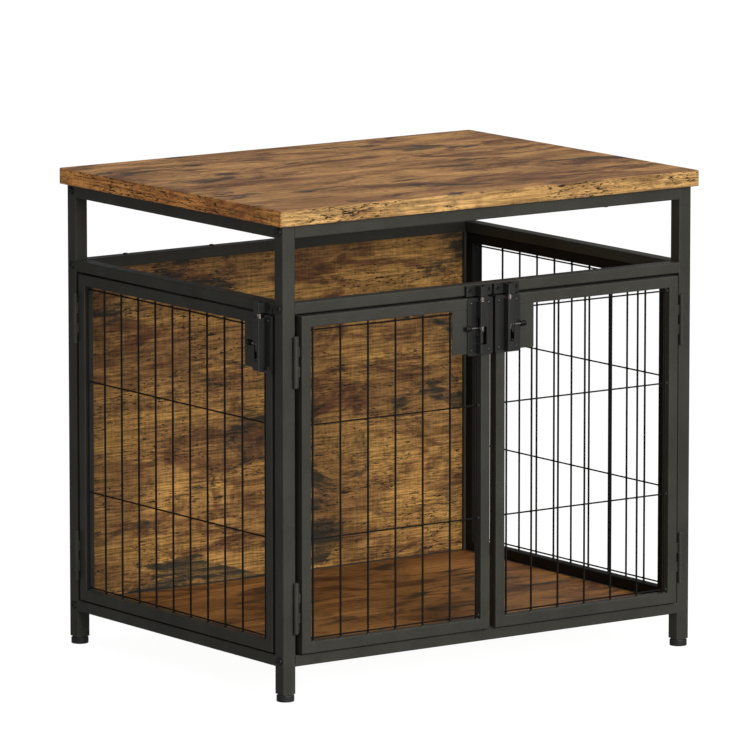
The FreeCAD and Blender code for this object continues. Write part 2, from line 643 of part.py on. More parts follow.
def make_right_panel():
    """Fixed wire panel that fills the right-hand bay and is screwed to its posts."""
    width = 2 * inner_y
    front = RIGHT_PANEL_SETBACK
    ring = ring_frame(0, width, front, bay_low, bay_high)
    screws = []
    for z in panel_screw_heights:
        for seat_x, direction in ((DOOR_TUBE, -1), (width - DOOR_TUBE, 1)):
            seat = point(seat_x, front + DOOR_TUBE / 2, z)
            reach = DOOR_TUBE + TUBE_WALL + 4
            ring = ring.cut(rod(seat, EAST * direction, DOOR_TUBE, SMALL_SCREW_RADIUS + SCREW_CLEARANCE))
            screws.append(pan_screw(seat, EAST * direction, reach, SMALL_SCREW_RADIUS,
                                    KEEPER_HEAD_RADIUS, SMALL_HEAD_HEIGHT))
    wires = grille(0, width, front, bay_low, bay_high, SIDE_WIRES, RIGHT_WIRE_SPREAD,
                   RIGHT_WIRE_SHIFT, RIGHT_NEAR_WIRES, RIGHT_NEAR_SHIFT)
    save("right_panel_frame", [at_right_side(ring)])
    save("right_panel_wires", [at_right_side(wires)])
    save("right_panel_screws", [at_right_side(s) for s in screws])


def make_door_stops():
    """Upright stops beside the posts and one under the middle rail, all just behind the front doors."""
    y0 = -frame_y - FRONT_DOOR_PROUD + DOOR_TUBE + STOP_GAP
    y1 = -inner_y
    x = inner_x - STOP_WIDTH
    stops = [tube(-inner_x, -x, y0, y1, bay_low, bay_high, UP),
             tube(x, inner_x, y0, y1, bay_low, bay_high, UP),
             tube(-x, x, y0, y1, bay_high - STOP_HEIGHT, bay_high, EAST)]
    save("door_stops", stops)


os.makedirs("parts", exist_ok=True)
make_posts_and_feet()
make_rails()
make_table_top()
make_floor()
make_back_panel()
make_right_panel()
make_door_stops()
all_pins = []
all_keeper_screws = []
front_left = (FRONT_DOOR_SIDE_GAP, front_door_width, FRONT_DOOR_PROUD, FRONT_WIRES, FRONT_WIRE_SPREAD,
              FRONT_LEFT_WIRE_SHIFT, FRONT_AXIS_OFFSET, FRONT_AXIS_PROUD, 0.0, FRONT_KEEPER_PAD)
front_right = (FRONT_DOOR_SIDE_GAP, front_door_width, FRONT_DOOR_PROUD, FRONT_WIRES, FRONT_WIRE_SPREAD,
               FRONT_RIGHT_WIRE_SHIFT, FRONT_AXIS_OFFSET, FRONT_AXIS_PROUD, 0.0, FRONT_KEEPER_PAD)
side = (SIDE_DOOR_SIDE_GAP, side_door_width, SIDE_DOOR_PROUD, SIDE_WIRES, SIDE_WIRE_SPREAD,
        SIDE_WIRE_SHIFT, SIDE_AXIS_OFFSET, SIDE_AXIS_PROUD, SIDE_LATCH_PAD, SIDE_KEEPER_PAD)
for name, place, sizes in (("front_left", at_front_left, front_left),
                           ("front_right", at_front_right, front_right),
                           ("side", at_left_side, side)):
    pins, screws = make_door(name, place, *sizes)
    all_pins += pins
    all_keeper_screws += screws
save("hinge_pins", all_pins)
save("keeper_screws", all_keeper_screws)
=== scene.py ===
# %% [markdown]
# # A wire dog crate that is also a side table
# This notebook dresses a finished CAD model. The steel tubes, wires, latches and boards arrive
# with the right shapes, so the work here is of two kinds. First each finish is mixed as a
# procedural material: powder coat, smooth black coat, zinc, printed wood. Then the small things
# that CAD leaves out are modelled by hand: rivets, knob caps, pin heads, hex sockets and welds,
# and a black strip between the front doors that paints the shadow in that gap.

import json
import math

import bpy
from mathutils import Matrix, Vector


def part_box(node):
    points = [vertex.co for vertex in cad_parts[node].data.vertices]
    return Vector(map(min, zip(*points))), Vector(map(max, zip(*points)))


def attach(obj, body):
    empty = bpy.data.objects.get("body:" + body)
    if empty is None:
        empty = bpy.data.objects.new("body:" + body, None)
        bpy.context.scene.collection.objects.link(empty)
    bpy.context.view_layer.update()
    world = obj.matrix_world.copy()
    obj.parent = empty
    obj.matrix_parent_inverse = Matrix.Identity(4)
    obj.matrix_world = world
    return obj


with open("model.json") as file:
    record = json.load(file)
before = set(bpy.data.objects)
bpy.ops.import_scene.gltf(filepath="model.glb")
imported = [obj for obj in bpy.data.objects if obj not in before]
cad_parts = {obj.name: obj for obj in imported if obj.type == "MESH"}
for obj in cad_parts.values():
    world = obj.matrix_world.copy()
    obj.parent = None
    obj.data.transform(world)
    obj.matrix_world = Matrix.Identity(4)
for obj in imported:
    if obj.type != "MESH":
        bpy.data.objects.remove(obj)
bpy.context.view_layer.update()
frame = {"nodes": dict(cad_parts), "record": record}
MM = 0.001

# %% [markdown]
# ## Camera
# The crate is seen from its front left corner, a little above the table top. A long lens far away
# keeps the uprights nearly parallel and the proportions true. The camera is placed on a sphere
# around a target point, and the same two angles then turn it to face the target.

# %% Camera
AZIMUTH = math.radians(-35.66)
ELEVATION = math.radians(9.208)
DISTANCE = 10.7325
TARGET = Vector((-0.00226, 0.0, 0.37403))

camera_data = bpy.data.cameras.new("camera")
camera_data.lens = 371.2
camera_data.sensor_width = 36.0
camera_data.clip_end = 100.0
camera = bpy.data.objects.new("camera", camera_data)
bpy.context.scene.collection.objects.link(camera)
towards_camera = Vector((math.sin(AZIMUTH) * math.cos(ELEVATION),
                         -math.cos(AZIMUTH) * math.cos(ELEVATION),
                         math.sin(ELEVATION)))
camera.location = TARGET + DISTANCE * towards_camera
camera.rotation_euler = (math.pi / 2 - ELEVATION, 0.0, AZIMUTH)
bpy.context.scene.camera = camera
print("camera at", [round(c, 2) for c in camera.location])

# %% [markdown]
# ## Studio
# The background is pure white, yet the room that lights the crate is much dimmer, or the dark
# steel would look washed out. The Light Path node tells the two apart: rays that come straight
# from the camera see white, and all others see a room that is brightest up and to the front
# right. Three soft boxes then give the front, the left side and the top each their own
# brightness.

# %% World, floor and soft boxes
bpy.context.scene.view_settings.view_transform = "Standard"

world = bpy.data.worlds.new("white_room")
world.use_nodes = True
nodes = world.node_tree.nodes
links = world.node_tree.links
direction = nodes.new("ShaderNodeTexCoord")
towards_bright = nodes.new("ShaderNodeVectorMath")
towards_bright.operation = "DOT_PRODUCT"
towards_bright.inputs[1].default_value = (0.50, -0.72, 0.48)
links.new(direction.outputs["Generated"], towards_bright.inputs[0])
room = nodes.new("ShaderNodeMapRange")
room.interpolation_type = "SMOOTHSTEP"
room.inputs["From Min"].default_value = -0.75
room.inputs["From Max"].default_value = 0.95
room.inputs["To Min"].default_value = 0.07
room.inputs["To Max"].default_value = 0.56
links.new(towards_bright.outputs["Value"], room.inputs["Value"])
path = nodes.new("ShaderNodeLightPath")
seen = nodes.new("ShaderNodeMix")
links.new(path.outputs["Is Camera Ray"], seen.inputs["Factor"])
links.new(room.outputs["Result"], seen.inputs["A"])
seen.inputs["B"].default_value = 1.0
backdrop = nodes["Background"]
backdrop.inputs["Color"].default_value = (1.0, 1.0, 1.0, 1.0)
links.new(seen.outputs["Result"], backdrop.inputs["Strength"])
bpy.context.scene.world = world

CRATE_MIDDLE = Vector((0.0, 0.0, 0.35))


def add_soft_box(name, place, size, power, colour):
    """Add a square area light at a place, turned to face the middle of the crate."""
    light = bpy.data.lights.new(name, "AREA")
    light.size = size
    light.energy = power
    light.color = colour
    lamp = bpy.data.objects.new(name, light)
    bpy.context.scene.collection.objects.link(lamp)
    lamp.location = place
    lamp.rotation_euler = (CRATE_MIDDLE - Vector(place)).to_track_quat("-Z", "Y").to_euler()
    return lamp


add_soft_box("front_box", (-0.4, -4.2, 1.7), 1.6, 134.0, (1.0, 0.98, 0.95))
add_soft_box("left_box", (-4.0, -1.6, 1.2), 1.4, 11.5, (1.0, 0.9, 0.82))
add_soft_box("top_box", (0.6, -0.2, 3.4), 1.6, 34.0, (1.0, 0.98, 0.95))

# %% [markdown]
# ## Node helpers
# A material is a small graph of nodes. A few short helpers keep the graphs readable: one adds any
# node and fills its sockets, and the others do arithmetic, mix or darken colours, stretch a
# range, and place noise that repeats at its own rate along each axis.

# %% Node helpers


def plug(tree, socket, value):
    """Put a value in a socket, or join another node's output to it."""
    if isinstance(value, bpy.types.NodeSocket):
        tree.links.new(value, socket)
    else:
        socket.default_value = value


def add_node(tree, kind, settings=None, sockets=None):
    """Add one node, then set its options and its input sockets."""
    node = tree.nodes.new(kind)
    for name, value in (settings or {}).items():
        setattr(node, name, value)
    for name, value in (sockets or {}).items():
        plug(tree, node.inputs[name], value)
    return node


def calculate(tree, operation, first, second=0.0, clamp=False):
    """Arithmetic on one or two values."""
    node = add_node(tree, "ShaderNodeMath", {"operation": operation, "use_clamp": clamp})
    plug(tree, node.inputs[0], first)
    plug(tree, node.inputs[1], second)
    return node.outputs[0]


def mix_colours(tree, factor, first, second, blend="MIX"):
    """Blend two colours by a factor."""
    node = add_node(tree, "ShaderNodeMix", {"data_type": "RGBA", "blend_type": blend})
    plug(tree, node.inputs[0], factor)
    plug(tree, node.inputs[6], first)
    plug(tree, node.inputs[7], second)
    return node.outputs[2]


def darken(tree, colour, shade):
    """Multiply a colour by a grey shade, which may also be above one."""
    grey = add_node(tree, "ShaderNodeCombineColor", None,
                    {"Red": shade, "Green": shade, "Blue": shade})
    return mix_colours(tree, 1.0, colour, grey.outputs["Color"], "MULTIPLY")


def ramp(tree, value, low, high, to_low=0.0, to_high=1.0):
    """Stretch a value from one range to another, with soft ends."""
    node = add_node(tree, "ShaderNodeMapRange", {"interpolation_type": "SMOOTHSTEP"},
                    {"Value": value, "From Min": low, "From Max": high,
                     "To Min": to_low, "To Max": to_high})
    return node.outputs["Result"]


def speckle(tree, vector, stretch, offset=0.0, detail=3.0, roughness=0.55, distortion=0.0):
    """Noise whose size along X, Y and Z is given as repeats per metre."""
    placed = add_node(tree, "ShaderNodeMapping", None,
                      {"Vector": vector, "Scale": stretch,
                       "Location": (offset, 2 * offset, -offset)})
    noise = add_node(tree, "ShaderNodeTexNoise", None,
                     {"Vector": placed.outputs["Vector"], "Scale": 1.0, "Detail": detail,
                      "Roughness": roughness, "Distortion": distortion})
    return noise.outputs["Fac"]


# %% [markdown]
# ## A group for printed wood
# The boards are particle board under a printed paper that imitates old planks. The print has a
# golden ground, red-brown clouds, smoky grey-green burns, a fine grain, swarms of short brown
# flecks along the grain, and black cracks. Each is noise that repeats less often along X than
# across it, which draws it out along the grain. Only the saw marks repeat more often along X, so
# they lie across the grain. All three boards share the print, so it is a node group: its inputs
# set the inks, and its outputs are a colour, a roughness and a height.

# %% Printed wood group


def start_group(name, inputs, outputs):
    """Make an empty node group with named inputs (with starting values) and outputs."""
    tree = bpy.data.node_groups.new(name, "ShaderNodeTree")
    for socket_name, kind, value in inputs:
        socket = tree.interface.new_socket(socket_name, in_out="INPUT", socket_type=kind)
        if value is not None:
            socket.default_value = value
    for socket_name, kind in outputs:
        tree.interface.new_socket(socket_name, in_out="OUTPUT", socket_type=kind)
    start = tree.nodes.new("NodeGroupInput")
    end = tree.nodes.new("NodeGroupOutput")
    return tree, start.outputs, end.inputs


COLOUR = "NodeSocketColor"
NUMBER = "NodeSocketFloat"
VECTOR = "NodeSocketVector"
FLECK_INK = (0.045, 0.022, 0.012, 1)
CRACK_INK = (0.018, 0.014, 0.010, 1)

wood_group, given, result = start_group(
    "printed_wood",
    [("Vector", VECTOR, None), ("Gold", COLOUR, (0.40, 0.21, 0.070, 1)),
     ("Tan", COLOUR, (0.27, 0.13, 0.045, 1)), ("Red Brown", COLOUR, (0.10, 0.040, 0.018, 1)),
     ("Smoke", COLOUR, (0.045, 0.042, 0.032, 1)), ("Smoke Amount", NUMBER, 0.8),
     ("Cracks", NUMBER, 0.8), ("Streak", NUMBER, 1.0), ("Saw", NUMBER, 0.4),
     ("Flecks", NUMBER, 0.8)],
    [("Color", COLOUR), ("Roughness", NUMBER), ("Height", NUMBER)])

t = wood_group
where = given["Vector"]
clouds = speckle(t, where, (4.0, 13.0, 13.0), 1.3, 5.0, 0.62, 0.5)
reds = speckle(t, where, (6.5, 19.0, 19.0), 5.1, 6.0, 0.7, 0.9)
burns = speckle(t, where, (6.5, 15.0, 15.0), 9.4, 6.0, 0.62, 0.8)
bars = speckle(t, where, (9.0, 190.0, 190.0), 2.2, 3.0, 0.6)
grain = speckle(t, where, (13.0, 360.0, 360.0), 3.7, 5.0, 0.7)
saw = speckle(t, where, (260.0, 30.0, 30.0), 7.9, 3.0, 0.6)
flecks = speckle(t, where, (75.0, 620.0, 620.0), 8.8, 3.0, 0.6)
fleck_places = speckle(t, where, (9.0, 16.0, 16.0), 12.5, 5.0, 0.7)
cracks = speckle(t, where, (80.0, 420.0, 420.0), 4.4, 3.0, 0.6, 1.0)
crack_places = speckle(t, where, (8.0, 20.0, 20.0), 6.6, 5.0, 0.65)

ground = mix_colours(t, ramp(t, clouds, 0.38, 0.6), given["Tan"], given["Gold"])
red_mask = calculate(t, "MULTIPLY", ramp(t, reds, 0.46, 0.64), 0.9)
ground = mix_colours(t, red_mask, ground, given["Red Brown"])
grain_shade = calculate(t, "MULTIPLY", ramp(t, grain, 0.34, 0.66, -0.42, 0.34), given["Streak"])
saw_shade = calculate(t, "MULTIPLY", ramp(t, saw, 0.3, 0.7, -0.3, 0.3), given["Saw"])
shade = calculate(t, "ADD", calculate(t, "ADD", grain_shade, saw_shade), 1.0)
ground = darken(t, ground, shade)
fleck_zones = ramp(t, fleck_places, 0.44, 0.62, 0.12, 0.9)
fleck_mask = calculate(t, "MULTIPLY", ramp(t, flecks, 0.5, 0.6), fleck_zones)
fleck_mask = calculate(t, "MULTIPLY", fleck_mask, given["Flecks"])
ground = mix_colours(t, fleck_mask, ground, FLECK_INK)
burn_bars = ramp(t, bars, 0.36, 0.56, 0.5, 1.0)
burn_mask = calculate(t, "MULTIPLY", ramp(t, burns, 0.55, 0.62), burn_bars)
burn_mask = calculate(t, "MULTIPLY", burn_mask, given["Smoke Amount"])
ground = mix_colours(t, burn_mask, ground, given["Smoke"])
crack_gain = calculate(t, "MULTIPLY", given["Cracks"], 0.05)
crack_lines = ramp(t, calculate(t, "ADD", cracks, crack_gain), 0.62, 0.67)
crack_zones = ramp(t, calculate(t, "ADD", crack_places, crack_gain), 0.5, 0.6)
crack_mask = calculate(t, "MULTIPLY", crack_lines, crack_zones)
ground = mix_colours(t, crack_mask, ground, CRACK_INK)
plug(t, result["Color"], ground)
plug(t, result["Roughness"], calculate(t, "ADD", ramp(t, grain, 0.3, 0.7, 0.42, 0.56),
                                       calculate(t, "MULTIPLY", burn_mask, 0.1)))
plug(t, result["Height"], calculate(t, "SUBTRACT", ramp(t, grain, 0.3, 0.7, 0.4, 1.0), crack_mask))
print("wood group has", len(t.nodes), "nodes")

# %% [markdown]
# ## Groups for coated steel
# Powder coat is sprayed as dry powder and baked, which leaves a fine orange-peel skin. Handling
# rubs it thin along the edges, where a painted highlight is mixed in with the wear, and dust lies
# on whatever faces up, mixed with a painted bluish sheen. Orange peel, edge wear with highlight,
# and dust with sheen each get a group, because every steel part uses them with its own strength.

# %% Coat skin, edge wear and highlight, and dust and sheen groups
skin_group, given, result = start_group(
    "coat_skin",
    [("Vector", VECTOR, None), ("Color", COLOUR, (0.02, 0.02, 0.02, 1)),
     ("Pimple Size", NUMBER, 900.0), ("Patchiness", NUMBER, 0.3), ("Roughness", NUMBER, 0.5)],
    [("Color", COLOUR), ("Roughness", NUMBER), ("Height", NUMBER)])
t = skin_group
pimple_noise = add_node(t, "ShaderNodeTexNoise", None,
                        {"Vector": given["Vector"], "Scale": given["Pimple Size"],
                         "Detail": 2.0, "Roughness": 0.5})
pimples = pimple_noise.outputs["Fac"]
patches = speckle(t, given["Vector"], (14.0, 14.0, 14.0), 1.7, 4.0, 0.6)
smears = speckle(t, given["Vector"], (60.0, 60.0, 9.0), 4.1, 3.0, 0.6)
patch_shade = calculate(t, "MULTIPLY", ramp(t, patches, 0.3, 0.7, -0.5, 0.5), given["Patchiness"])
fine_shade = calculate(t, "MULTIPLY", ramp(t, pimples, 0.35, 0.65, -0.5, 0.5), given["Patchiness"])
shade = calculate(t, "ADD", calculate(t, "ADD", patch_shade, fine_shade), 1.0)
plug(t, result["Color"], darken(t, given["Color"], shade))
smear_shift = ramp(t, smears, 0.3, 0.7, -0.07, 0.07)
plug(t, result["Roughness"], calculate(t, "ADD", given["Roughness"], smear_shift, clamp=True))
plug(t, result["Height"], pimples)

# Edges are marked both as wear and as a painted highlight, since the worn colour is lighter than
# the coat.
wear_and_highlight_group, given, result = start_group(
    "edge_wear_and_highlight",
    [("Vector", VECTOR, None), ("Width", NUMBER, 0.0012), ("Amount", NUMBER, 0.5)],
    [("Mask", NUMBER)])
t = wear_and_highlight_group
rounded = add_node(t, "ShaderNodeBevel", {"samples": 4}, {"Radius": given["Width"]})
flat = add_node(t, "ShaderNodeNewGeometry")
turn = add_node(t, "ShaderNodeVectorMath", {"operation": "DOT_PRODUCT"})
plug(t, turn.inputs[0], rounded.outputs["Normal"])
plug(t, turn.inputs[1], flat.outputs["Normal"])
edge = ramp(t, turn.outputs["Value"], 0.995, 0.86)
chips = speckle(t, given["Vector"], (160.0, 160.0, 160.0), 2.9, 4.0, 0.65)
worn_and_highlit = calculate(t, "MULTIPLY", edge, ramp(t, chips, 0.38, 0.62, 0.15, 1.0))
plug(t, result["Mask"], calculate(t, "MULTIPLY", worn_and_highlit, given["Amount"], clamp=True))

# Upward faces get dust and, in the same mask, a painted bluish sheen standing in for reflected
# light.
dust_and_sheen_group, given, result = start_group(
    "settled_dust_and_sheen",
    [("Vector", VECTOR, None), ("Facing", VECTOR, None), ("Amount", NUMBER, 0.2)],
    [("Mask", NUMBER)])
t = dust_and_sheen_group
upward = add_node(t, "ShaderNodeSeparateXYZ", None, {"Vector": given["Facing"]}).outputs["Z"]
dust_and_sheen_speckle = speckle(t, given["Vector"], (300.0, 300.0, 300.0), 8.3, 3.0, 0.7)
dust_and_sheen_on_top = calculate(t, "MULTIPLY", ramp(t, upward, 0.4, 0.95), ramp(t, dust_and_sheen_speckle, 0.35, 0.7, 0.3, 1.0))
plug(t, result["Mask"], calculate(t, "MULTIPLY", dust_and_sheen_on_top, given["Amount"], clamp=True))
print("coat groups ready")

# %% [markdown]
# ## Materials from the groups
# Each finish is one Principled shader with the groups plugged into it. Metals and coats differ
# only in their colours, roughness and strengths, so one function builds them and a short list of
# calls gives each its own look.

# %% Coated steel, bare steel, plastic and rubber


def start_material(name):
    """New material, returning its tree, its Principled shader and its object coordinates."""
    material = bpy.data.materials.new(name)
    material.use_nodes = True
    tree = material.node_tree
    shader = tree.nodes["Principled BSDF"]
    places = tree.nodes.new("ShaderNodeTexCoord")
    return material, tree, shader, places.outputs


def use_group(tree, group, sockets):
    """Place a group in a material and return its outputs."""
    node = tree.nodes.new("ShaderNodeGroup")
    node.node_tree = group
    for name, value in sockets.items():
        plug(tree, node.inputs[name], value)
    return node.outputs


# Bluish grey: partly dust, partly a painted sheen of light on upward faces.
DUST_AND_SHEEN_COLOUR = (0.23, 0.24, 0.25, 1)


def coated(name, colour, worn_and_highlight_colour, roughness, pimple=900.0, patchy=0.3, wear_and_highlight=0.4, width=0.0012,
           dust_and_sheen=0.15, bump=0.00004, metallic=0.0, specular=0.5, coat=0.0):
    """Steel or plastic with an orange-peel skin, rubbed edges with a painted highlight, and a
    little dust mixed with a painted bluish sheen.
    """
    material, tree, shader, places = start_material(name)
    where = places["Object"]
    skin = use_group(tree, skin_group, {"Vector": where, "Color": colour, "Pimple Size": pimple,
                                        "Patchiness": patchy, "Roughness": roughness})
    wear_and_highlight_mask = use_group(tree, wear_and_highlight_group, {"Vector": where, "Width": width, "Amount": wear_and_highlight})
    dust_and_sheen_mask = use_group(tree, dust_and_sheen_group, {"Vector": where, "Facing": places["Normal"],
                                             "Amount": dust_and_sheen})
    shown = mix_colours(tree, wear_and_highlight_mask["Mask"], skin["Color"], worn_and_highlight_colour)
    shown = mix_colours(tree, dust_and_sheen_mask["Mask"], shown, DUST_AND_SHEEN_COLOUR)
    plug(tree, shader.inputs["Base Color"], shown)
    plug(tree, shader.inputs["Roughness"], skin["Roughness"])
    relief = add_node(tree, "ShaderNodeBump", None,
                      {"Height": skin["Height"], "Strength": 0.6, "Distance": bump})
    plug(tree, shader.inputs["Normal"], relief.outputs["Normal"])
    shader.inputs["Metallic"].default_value = metallic
    shader.inputs["Specular IOR Level"].default_value = specular
    shader.inputs["Coat Weight"].default_value = coat
    shader.inputs["Coat Roughness"].default_value = 0.25
    return material


# The frame's worn colour is much lighter than its coat, so its edges carry a painted highlight.
frame_coat = coated("charcoal_powder_coat", (0.0365, 0.0362, 0.029, 1), (0.16, 0.16, 0.138, 1),
                    0.48, wear_and_highlight=0.55, specular=0.3)
wire_coat = coated("wire_coat", (0.0045, 0.0045, 0.004, 1), (0.03, 0.03, 0.03, 1), 0.5,
                   wear_and_highlight=0.0, dust_and_sheen=0.03, specular=0.18)
# Near-black coat painted as shade, for the door stops and the right panel's frame, which sit in
# shadow.
painted_shade_coat = coated("painted_shade_black_coat", (0.0075, 0.0073, 0.0062, 1), (0.03, 0.03, 0.027, 1), 0.55,
                    wear_and_highlight=0.3, dust_and_sheen=0.05, specular=0.15)
latch_coat = coated("latch_black_coat", (0.0105, 0.0108, 0.0092, 1), (0.05, 0.052, 0.05, 1), 0.38,
                    pimple=1400.0, patchy=0.25, wear_and_highlight=0.35, width=0.0008, dust_and_sheen=0.08, coat=0.15)
bright_zinc = coated("bright_zinc", (0.32, 0.285, 0.27, 1), (0.66, 0.63, 0.60, 1), 0.3,
                     pimple=2600.0, patchy=0.18, wear_and_highlight=0.5, width=0.0006, dust_and_sheen=0.05, bump=0.00001,
                     metallic=1.0)
dark_screw = coated("blackened_screw_steel", (0.009, 0.009, 0.0085, 1), (0.09, 0.088, 0.082, 1),
                    0.36, pimple=1800.0, patchy=0.35, wear_and_highlight=0.5, width=0.0006, dust_and_sheen=0.06,
                    metallic=0.3)
foot_plastic = coated("foot_plastic", (0.014, 0.014, 0.014, 1), (0.05, 0.05, 0.05, 1), 0.5,
                      pimple=1500.0, wear_and_highlight=0.3, width=0.0008, dust_and_sheen=0.2, specular=0.4)
knob_plastic = coated("knob_plastic", (0.006, 0.006, 0.006, 1), (0.03, 0.03, 0.03, 1), 0.3,
                      pimple=2000.0, wear_and_highlight=0.3, width=0.0005, dust_and_sheen=0.05)
weld_coat = coated("coated_weld", (0.026, 0.026, 0.022, 1), (0.06, 0.062, 0.062, 1), 0.5,
                   pimple=600.0, patchy=0.5, wear_and_highlight=0.0, dust_and_sheen=0.1, bump=0.0001)
# Black coat for the strip between the front doors, which paints the shadow in that gap.
gap_shade_coat = coated("gap_shade_black", (0.005, 0.005, 0.005, 1), (0.02, 0.02, 0.02, 1), 0.75, pimple=700.0,
                wear_and_highlight=0.1, dust_and_sheen=0.1, specular=0.15)

# %% [markdown]
# ## The three boards
# On the table top the print runs from left to right and shows as long soft streaks. A plastic
# strip is glued round its edge. It is full of cracks. On the left and right it is painted lighter
# and more orange than along the front and back: painted light for the left edge, which the lamps
# leave too dark. The strip is found by the way the surface faces, and a thin dark glue line marks
# where it meets the top. The back panel's print is sharper, with rows of cracks and saw marks
# across the grain. The floor's print is the most orange and the plainest of the three.

# %% Table top material


def print_wood(tree, vector, gold, tan, red, smoke, smoke_amount, cracks, streak, saw, flecks):
    """Place the printed wood group with its inks."""
    return use_group(tree, wood_group, {
        "Vector": vector, "Gold": gold, "Tan": tan, "Red Brown": red, "Smoke": smoke,
        "Smoke Amount": smoke_amount, "Cracks": cracks, "Streak": streak, "Saw": saw,
        "Flecks": flecks})


def finish_wood(tree, shader, colour, roughness, height, depth, specular):
    """Join a wood colour, roughness and relief to the shader."""
    plug(tree, shader.inputs["Base Color"], colour)
    plug(tree, shader.inputs["Roughness"], roughness)
    relief = add_node(tree, "ShaderNodeBump", None,
                      {"Height": height, "Strength": 0.5, "Distance": depth})
    plug(tree, shader.inputs["Normal"], relief.outputs["Normal"])
    shader.inputs["Specular IOR Level"].default_value = specular


GLUE_DROP = 0.0011
_, table_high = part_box("table_top")
table_wood, tree, shader, places = start_material("table_top_print")
face = print_wood(tree, places["Object"], (0.50, 0.265, 0.10, 1), (0.30, 0.15, 0.06, 1),
                  (0.125, 0.052, 0.028, 1), (0.036, 0.034, 0.031, 1), 0.95, 0.3, 1.2, 0.1, 0.8)
along = add_node(tree, "ShaderNodeSeparateXYZ", None, {"Vector": places["Object"]})
facing = add_node(tree, "ShaderNodeSeparateXYZ", None, {"Vector": places["Normal"]})
turned = add_node(tree, "ShaderNodeCombineXYZ", None,
                  {"X": along.outputs["Y"], "Y": along.outputs["Z"], "Z": along.outputs["X"]})
front_strip = print_wood(tree, places["Object"], (0.60, 0.36, 0.135, 1), (0.44, 0.25, 0.088, 1),
                         (0.23, 0.115, 0.045, 1), (0.09, 0.075, 0.05, 1), 0.6, 1.6, 1.1, 0.2, 0.7)
# The left and right strip has lighter, more orange inks: painted light on the left edge.
side_strip_painted_lighter = print_wood(tree, turned.outputs["Vector"], (0.92, 0.42, 0.12, 1),
                        (0.66, 0.27, 0.075, 1), (0.27, 0.095, 0.033, 1), (0.06, 0.045, 0.03, 1),
                        0.7, 1.5, 1.1, 0.4, 0.75)
sideways = calculate(tree, "GREATER_THAN", calculate(tree, "ABSOLUTE", facing.outputs["X"]), 0.7)
upright = calculate(tree, "LESS_THAN", calculate(tree, "ABSOLUTE", facing.outputs["Z"]), 0.5)
strip = mix_colours(tree, sideways, front_strip["Color"], side_strip_painted_lighter["Color"])
shown = mix_colours(tree, upright, face["Color"], strip)
above_glue = calculate(tree, "SUBTRACT", along.outputs["Z"], table_high.z - GLUE_DROP)
from_glue = calculate(tree, "ABSOLUTE", above_glue)
glue = calculate(tree, "MULTIPLY", ramp(tree, from_glue, 0.00045, 0.0002), 0.4)
shown = mix_colours(tree, glue, shown, (0.05, 0.03, 0.02, 1))
finish_wood(tree, shader, shown, face["Roughness"], face["Height"], 0.00012, 0.12)

# %% Back and floor panel materials
back_wood, tree, shader, places = start_material("back_panel_print")
panel = print_wood(tree, places["Object"], (0.52, 0.285, 0.08, 1), (0.29, 0.15, 0.05, 1),
                   (0.115, 0.045, 0.021, 1), (0.028, 0.029, 0.022, 1), 0.95, 1.05, 1.3, 0.5, 0.9)
finish_wood(tree, shader, panel["Color"], panel["Roughness"], panel["Height"], 0.0002, 0.2)

floor_wood, tree, shader, places = start_material("floor_panel_print")
shifted = add_node(tree, "ShaderNodeMapping", None,
                   {"Vector": places["Object"], "Location": (0.7, 0.4, 0.2)})
panel = print_wood(tree, shifted.outputs["Vector"], (0.46, 0.21, 0.06, 1), (0.28, 0.12, 0.033, 1),
                   (0.10, 0.036, 0.013, 1), (0.035, 0.03, 0.022, 1), 0.9, 0.3, 1.1, 0.05, 0.6)
finish_wood(tree, shader, panel["Color"], panel["Roughness"], panel["Height"], 0.00012, 0.2)
print("boards mixed")

# %% [markdown]
# ## Dress the CAD parts
# Each CAD part keeps its shape and only changes its material. The record already names a finish
# for every part, so most of the work is a small table from finish to material. The wires, the
# floor, the latch plates, the door stops and the right panel's frame are picked out by name. The
# door stops and the right panel's frame get a near-black coat that paints the shade they sit in.

# %% Assign materials to the CAD parts
BY_SLOT = {"frame_coat": frame_coat, "hardware_coat": latch_coat, "bright_steel": bright_zinc,
           "screw_steel": dark_screw, "foot_plastic": foot_plastic, "table_wood": table_wood,
           "panel_wood": back_wood}
slot_of = {part["node"]: part["material_slot"] for part in frame["record"]["subparts"]}
for name, node in frame["nodes"].items():
    material = BY_SLOT[slot_of[name]]
    if name.endswith("_wires"):
        material = wire_coat
    if name == "floor_panel":
        material = floor_wood
    if name.endswith("latch_plate"):
        material = frame_coat
    # Painted shade: these parts sit in shadow and get a near-black coat.
    if name in ("door_stops", "right_panel_frame"):
        material = painted_shade_coat
    node.data.materials.clear()
    node.data.materials.append(material)
print("dressed", len(frame["nodes"]), "parts")

# %% [markdown]
# ## Modelling helpers
# Small hardware repeats many times. Each kind is modelled once at the origin, pointing up, and a
# helper then stamps copies of its mesh at a list of places and joins them into one piece that
# sits at the origin, just as the CAD parts do.

# %% Modelling helpers


def deselect():
    bpy.ops.object.select_all(action="DESELECT")


def select_faces(obj, wanted):
    """In edit mode, select only the faces whose centre and normal pass a test."""
    bpy.ops.mesh.select_mode(type="FACE")
    bpy.ops.mesh.select_all(action="DESELECT")
    bpy.ops.object.mode_set(mode="OBJECT")
    for polygon in obj.data.polygons:
        polygon.select = wanted(polygon.center, polygon.normal)
    bpy.ops.object.mode_set(mode="EDIT")


def pointing(direction):
    """Rotation that turns up into a direction."""
    return Vector(direction).to_track_quat("Z", "Y").to_matrix().to_4x4()


